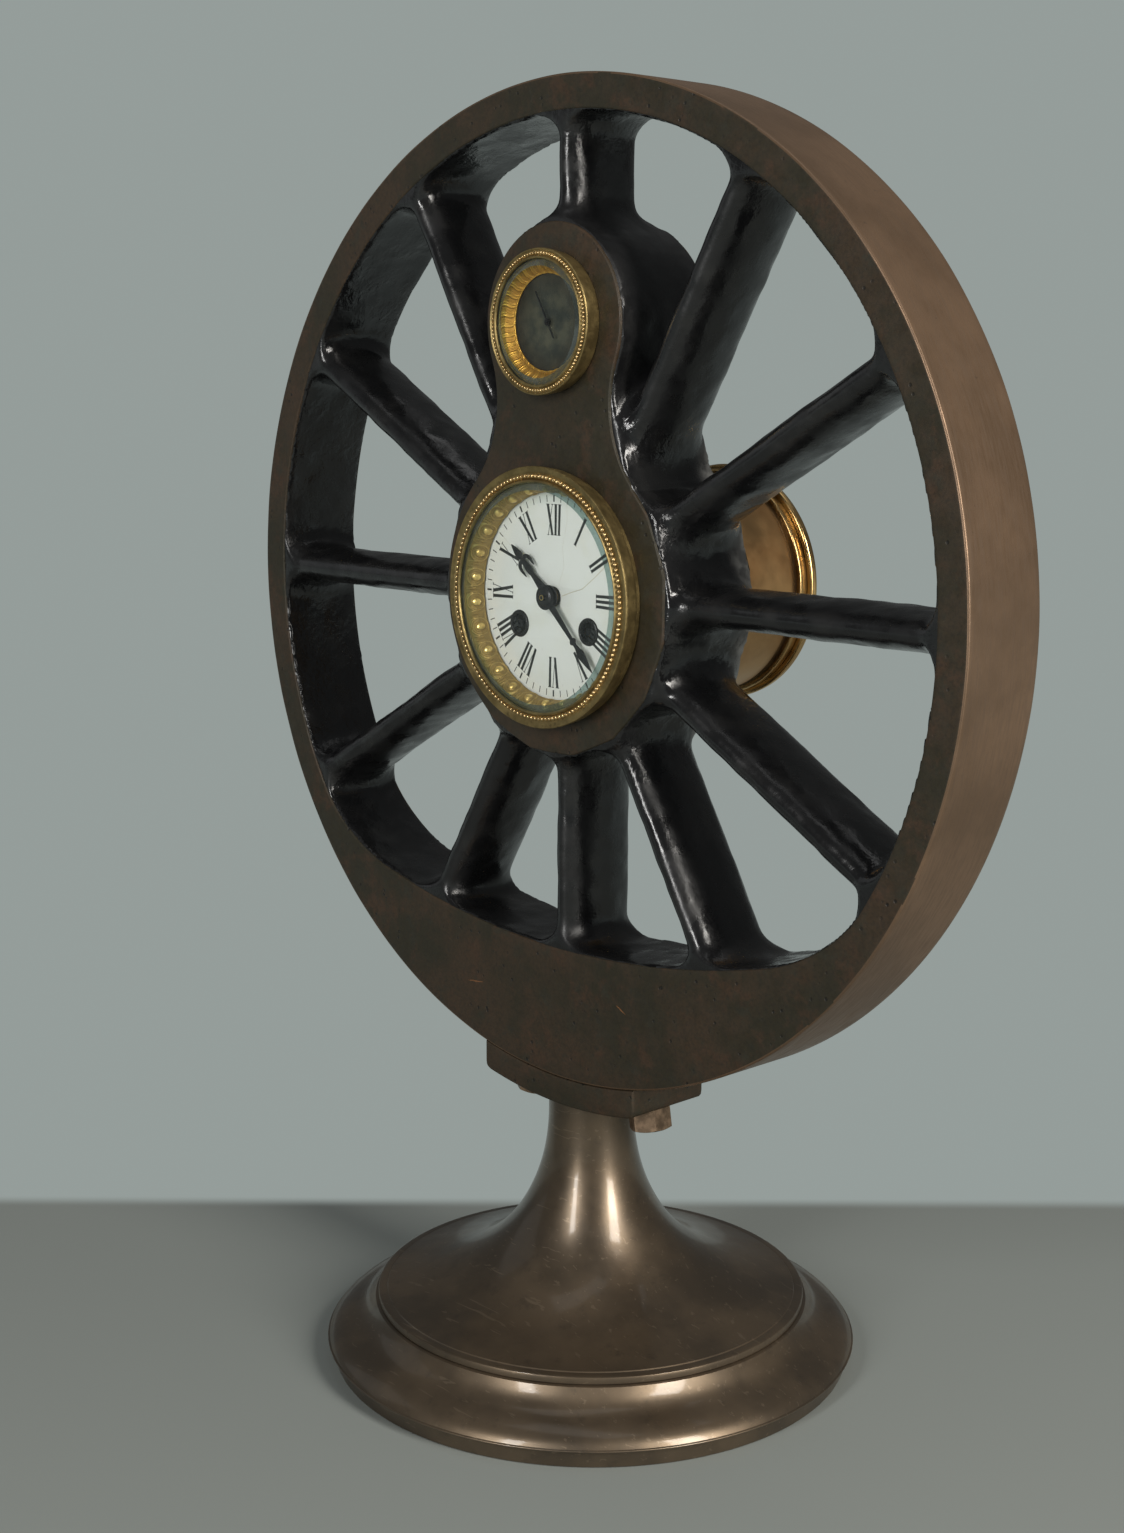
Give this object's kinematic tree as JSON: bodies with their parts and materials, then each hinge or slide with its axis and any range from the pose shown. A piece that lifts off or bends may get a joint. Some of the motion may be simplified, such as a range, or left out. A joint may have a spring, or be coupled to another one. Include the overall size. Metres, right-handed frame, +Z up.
{
  "type": "locomotive wheel mantel clock",
  "caption": "Mantel clock shaped as a spoked locomotive driving wheel on a trumpet pedestal, with a striking movement in the hub and a small aneroid barometer in the crank boss.",
  "frame": {"origin": "centre of the pedestal foot's underside, on the surface the clock stands on", "axes": "+Z up, -Y out of the dial towards the viewer, +X to the viewer's right when facing the dial"},
  "size_m": [0.436, 0.2454, 0.5711],
  "materials": {
    "pedestal_bronze": "smooth dark brown patinated bronze, polished by handling",
    "wheel_iron": "cast iron with a dark olive-brown bronzed patina, pitted, on the machined faces and the tread",
    "black_paint": "thick glossy black paint with runs and an uneven skin, over cast iron",
    "aged_brass": "aged lacquered brass",
    "gilt": "stamped and gilded brass",
    "drum_brass": "spun brass, warm and lightly scratched",
    "movement_brass": "brushed movement brass",
    "steel": "polished steel",
    "blued_steel": "dark blued steel",
    "bolt_steel": "coppery brown bolt heads",
    "enamel": "white vitreous enamel with hairline cracks and black numerals",
    "dial_metal": "tarnished green-grey plate",
    "glass": "thick bevelled glass",
    "bell_metal": "turned bell metal"
  },
  "bodies": {
    "clock_frame": {"pedestal_foot": "pedestal_bronze", "pedestal_column": "pedestal_bronze", "column_stud": "steel", "saddle": "pedestal_bronze", "saddle_bolts": "bolt_steel", "wheel_rim": "wheel_iron", "wheel_counterweight": "wheel_iron", "wheel_hub": "wheel_iron", "wheel_spokes": "black_paint", "dial_seat_ring": "aged_brass", "dial_enamel": "enamel", "dial_plate": "movement_brass", "winding_collets": "blued_steel", "barometer_case": "movement_brass", "barometer_works": "movement_brass", "barometer_dial": "dial_metal", "barometer_bezel": "aged_brass", "barometer_glass": "glass", "barometer_sight_ring": "gilt", "drum_case": "drum_brass", "drum_rear_ring": "drum_brass", "hinge_pins": "steel", "movement_straps": "movement_brass", "strap_screws": "steel", "front_plate": "movement_brass", "back_plate": "movement_brass", "plate_pillars": "movement_brass", "balance_cock": "movement_brass", "bell": "bell_metal", "bell_stand": "movement_brass"},
    "front_bezel": {"bezel_ring": "aged_brass", "bezel_glass": "glass", "bezel_sight_ring": "gilt"},
    "back_door": {"rear_door": "drum_brass"},
    "minute_work": {"cannon_pinion": "steel", "minute_hand": "blued_steel", "hand_collet": "blued_steel"},
    "minute_reduction": {"minute_wheel": "movement_brass"},
    "hour_work": {"hour_wheel": "movement_brass", "hour_hand": "blued_steel"},
    "barometer_needle": {"barometer_hand": "blued_steel"},
    "going_barrel_body": {"going_barrel": "movement_brass"},
    "going_winding": {"going_winding_arbor": "steel"},
    "going_click_body": {"going_click": "steel"},
    "second_arbor": {"second_wheel": "movement_brass"},
    "centre_arbor": {"centre_wheel": "movement_brass", "hand_pin": "steel"},
    "third_arbor": {"third_wheel": "movement_brass"},
    "fourth_arbor": {"fourth_wheel": "movement_brass"},
    "escape_arbor": {"escape_wheel": "movement_brass"},
    "lever_body": {"pallet_lever": "steel"},
    "balance_body": {"balance_wheel": "movement_brass"},
    "strike_barrel_body": {"strike_barrel": "movement_brass"},
    "strike_winding": {"strike_winding_arbor": "steel"},
    "strike_click_body": {"strike_click": "steel"},
    "strike_second_arbor": {"strike_second_wheel": "movement_brass"},
    "pin_arbor": {"pin_wheel": "movement_brass"},
    "locking_arbor": {"locking_wheel": "movement_brass"},
    "fly_arbor": {"strike_fly": "steel"},
    "hammer_body": {"hammer": "steel"}
  },
  "joints": [
    {"name": "bezel_hinge", "type": "hinge", "parent": "clock_frame", "child": "front_bezel", "pos_m": [-0.0588, -0.03, 0.3531], "axis": [0, 0, -1], "range_deg": [0, 110]},
    {"name": "rear_door_hinge", "type": "hinge", "parent": "clock_frame", "child": "back_door", "pos_m": [-0.057, 0.0826, 0.3531], "axis": [0, 0, 1], "range_deg": [0, 110]},
    {"name": "minute_hand_turn", "type": "hinge", "parent": "clock_frame", "child": "minute_work", "pos_m": [0, 0, 0.3531], "axis": [0, 1, 0], "continuous": true},
    {"name": "minute_wheel_turn", "type": "hinge", "parent": "clock_frame", "child": "minute_reduction", "pos_m": [0, 0, 0.3387], "axis": [0, 1, 0], "continuous": true},
    {"name": "hour_hand_turn", "type": "hinge", "parent": "clock_frame", "child": "hour_work", "pos_m": [0, 0, 0.3531], "axis": [0, 1, 0], "continuous": true},
    {"name": "barometer_needle_turn", "type": "hinge", "parent": "clock_frame", "child": "barometer_needle", "pos_m": [0, 0, 0.4695], "axis": [0, 1, 0], "range_deg": [-110, 170]},
    {"name": "third_wheel_turn", "type": "hinge", "parent": "clock_frame", "child": "third_arbor", "pos_m": [0.00055, 0, 0.36884], "axis": [0, 1, 0], "continuous": true},
    {"name": "going_barrel_turn", "type": "hinge", "parent": "clock_frame", "child": "going_barrel_body", "pos_m": [0.022, 0, 0.3396], "axis": [0, 1, 0], "continuous": true},
    {"name": "second_wheel_turn", "type": "hinge", "parent": "clock_frame", "child": "second_arbor", "pos_m": [0.01526, 0, 0.36012], "axis": [0, 1, 0], "continuous": true},
    {"name": "centre_wheel_turn", "type": "hinge", "parent": "clock_frame", "child": "centre_arbor", "pos_m": [0, 0, 0.3531], "axis": [0, 1, 0], "continuous": true},
    {"name": "fourth_wheel_turn", "type": "hinge", "parent": "clock_frame", "child": "fourth_arbor", "pos_m": [0.00822, 0, 0.37902], "axis": [0, 1, 0], "continuous": true},
    {"name": "escape_wheel_turn", "type": "hinge", "parent": "clock_frame", "child": "escape_arbor", "pos_m": [-0.00093, 0, 0.382], "axis": [0, 1, 0], "continuous": true},
    {"name": "going_winding_turn", "type": "hinge", "parent": "clock_frame", "child": "going_winding", "pos_m": [0.022, 0, 0.3396], "axis": [0, 1, 0], "continuous": true},
    {"name": "going_click_lift", "type": "hinge", "parent": "clock_frame", "child": "going_click_body", "pos_m": [0.0268, 0, 0.34791], "axis": [0, 1, 0], "range_deg": [0, 12]},
    {"name": "lever_swing", "type": "hinge", "parent": "clock_frame", "child": "lever_body", "pos_m": [-0.00613, 0, 0.382], "axis": [0, 1, 0], "range_deg": [-4, 4]},
    {"name": "balance_swing", "type": "hinge", "parent": "clock_frame", "child": "balance_body", "pos_m": [-0.01524, 0, 0.38072], "axis": [0, 1, 0], "range_deg": [-220, 220], "stiffness_Nm_per_rad": 0.0000025},
    {"name": "pin_wheel_turn", "type": "hinge", "parent": "clock_frame", "child": "pin_arbor", "pos_m": [-0.01174, 0, 0.37601], "axis": [0, 1, 0], "continuous": true},
    {"name": "strike_barrel_turn", "type": "hinge", "parent": "clock_frame", "child": "strike_barrel_body", "pos_m": [-0.022, 0, 0.3396], "axis": [0, 1, 0], "continuous": true},
    {"name": "strike_second_turn", "type": "hinge", "parent": "clock_frame", "child": "strike_second_arbor", "pos_m": [-0.01937, 0, 0.36104], "axis": [0, 1, 0], "continuous": true},
    {"name": "locking_wheel_turn", "type": "hinge", "parent": "clock_frame", "child": "locking_arbor", "pos_m": [-0.02329, 0, 0.37889], "axis": [0, 1, 0], "continuous": true},
    {"name": "fly_turn", "type": "hinge", "parent": "clock_frame", "child": "fly_arbor", "pos_m": [-0.0303, 0, 0.37531], "axis": [0, 1, 0], "continuous": true},
    {"name": "strike_winding_turn", "type": "hinge", "parent": "clock_frame", "child": "strike_winding", "pos_m": [-0.022, 0, 0.3396], "axis": [0, 1, 0], "continuous": true},
    {"name": "strike_click_lift", "type": "hinge", "parent": "clock_frame", "child": "strike_click_body", "pos_m": [-0.0268, 0, 0.34791], "axis": [0, -1, 0], "range_deg": [0, 12]},
    {"name": "hammer_swing", "type": "hinge", "parent": "clock_frame", "child": "hammer_body", "pos_m": [-0.009, 0, 0.3901], "axis": [0, 1, 0], "range_deg": [0, 10]}
  ],
  "couplings": [
    {"joint": "minute_wheel_turn", "follows": "minute_hand_turn", "ratio": -0.33333},
    {"joint": "hour_hand_turn", "follows": "minute_hand_turn", "ratio": 0.083333},
    {"joint": "centre_wheel_turn", "follows": "third_wheel_turn", "ratio": -0.125},
    {"joint": "second_wheel_turn", "follows": "third_wheel_turn", "ratio": 0.020833},
    {"joint": "going_barrel_turn", "follows": "third_wheel_turn", "ratio": -0.0029762},
    {"joint": "fourth_wheel_turn", "follows": "third_wheel_turn", "ratio": -7.5},
    {"joint": "escape_wheel_turn", "follows": "third_wheel_turn", "ratio": 75},
    {"joint": "strike_second_turn", "follows": "pin_wheel_turn", "ratio": -0.16667},
    {"joint": "strike_barrel_turn", "follows": "pin_wheel_turn", "ratio": 0.02381},
    {"joint": "locking_wheel_turn", "follows": "pin_wheel_turn", "ratio": -7.5},
    {"joint": "fly_turn", "follows": "pin_wheel_turn", "ratio": 60}
  ]
}
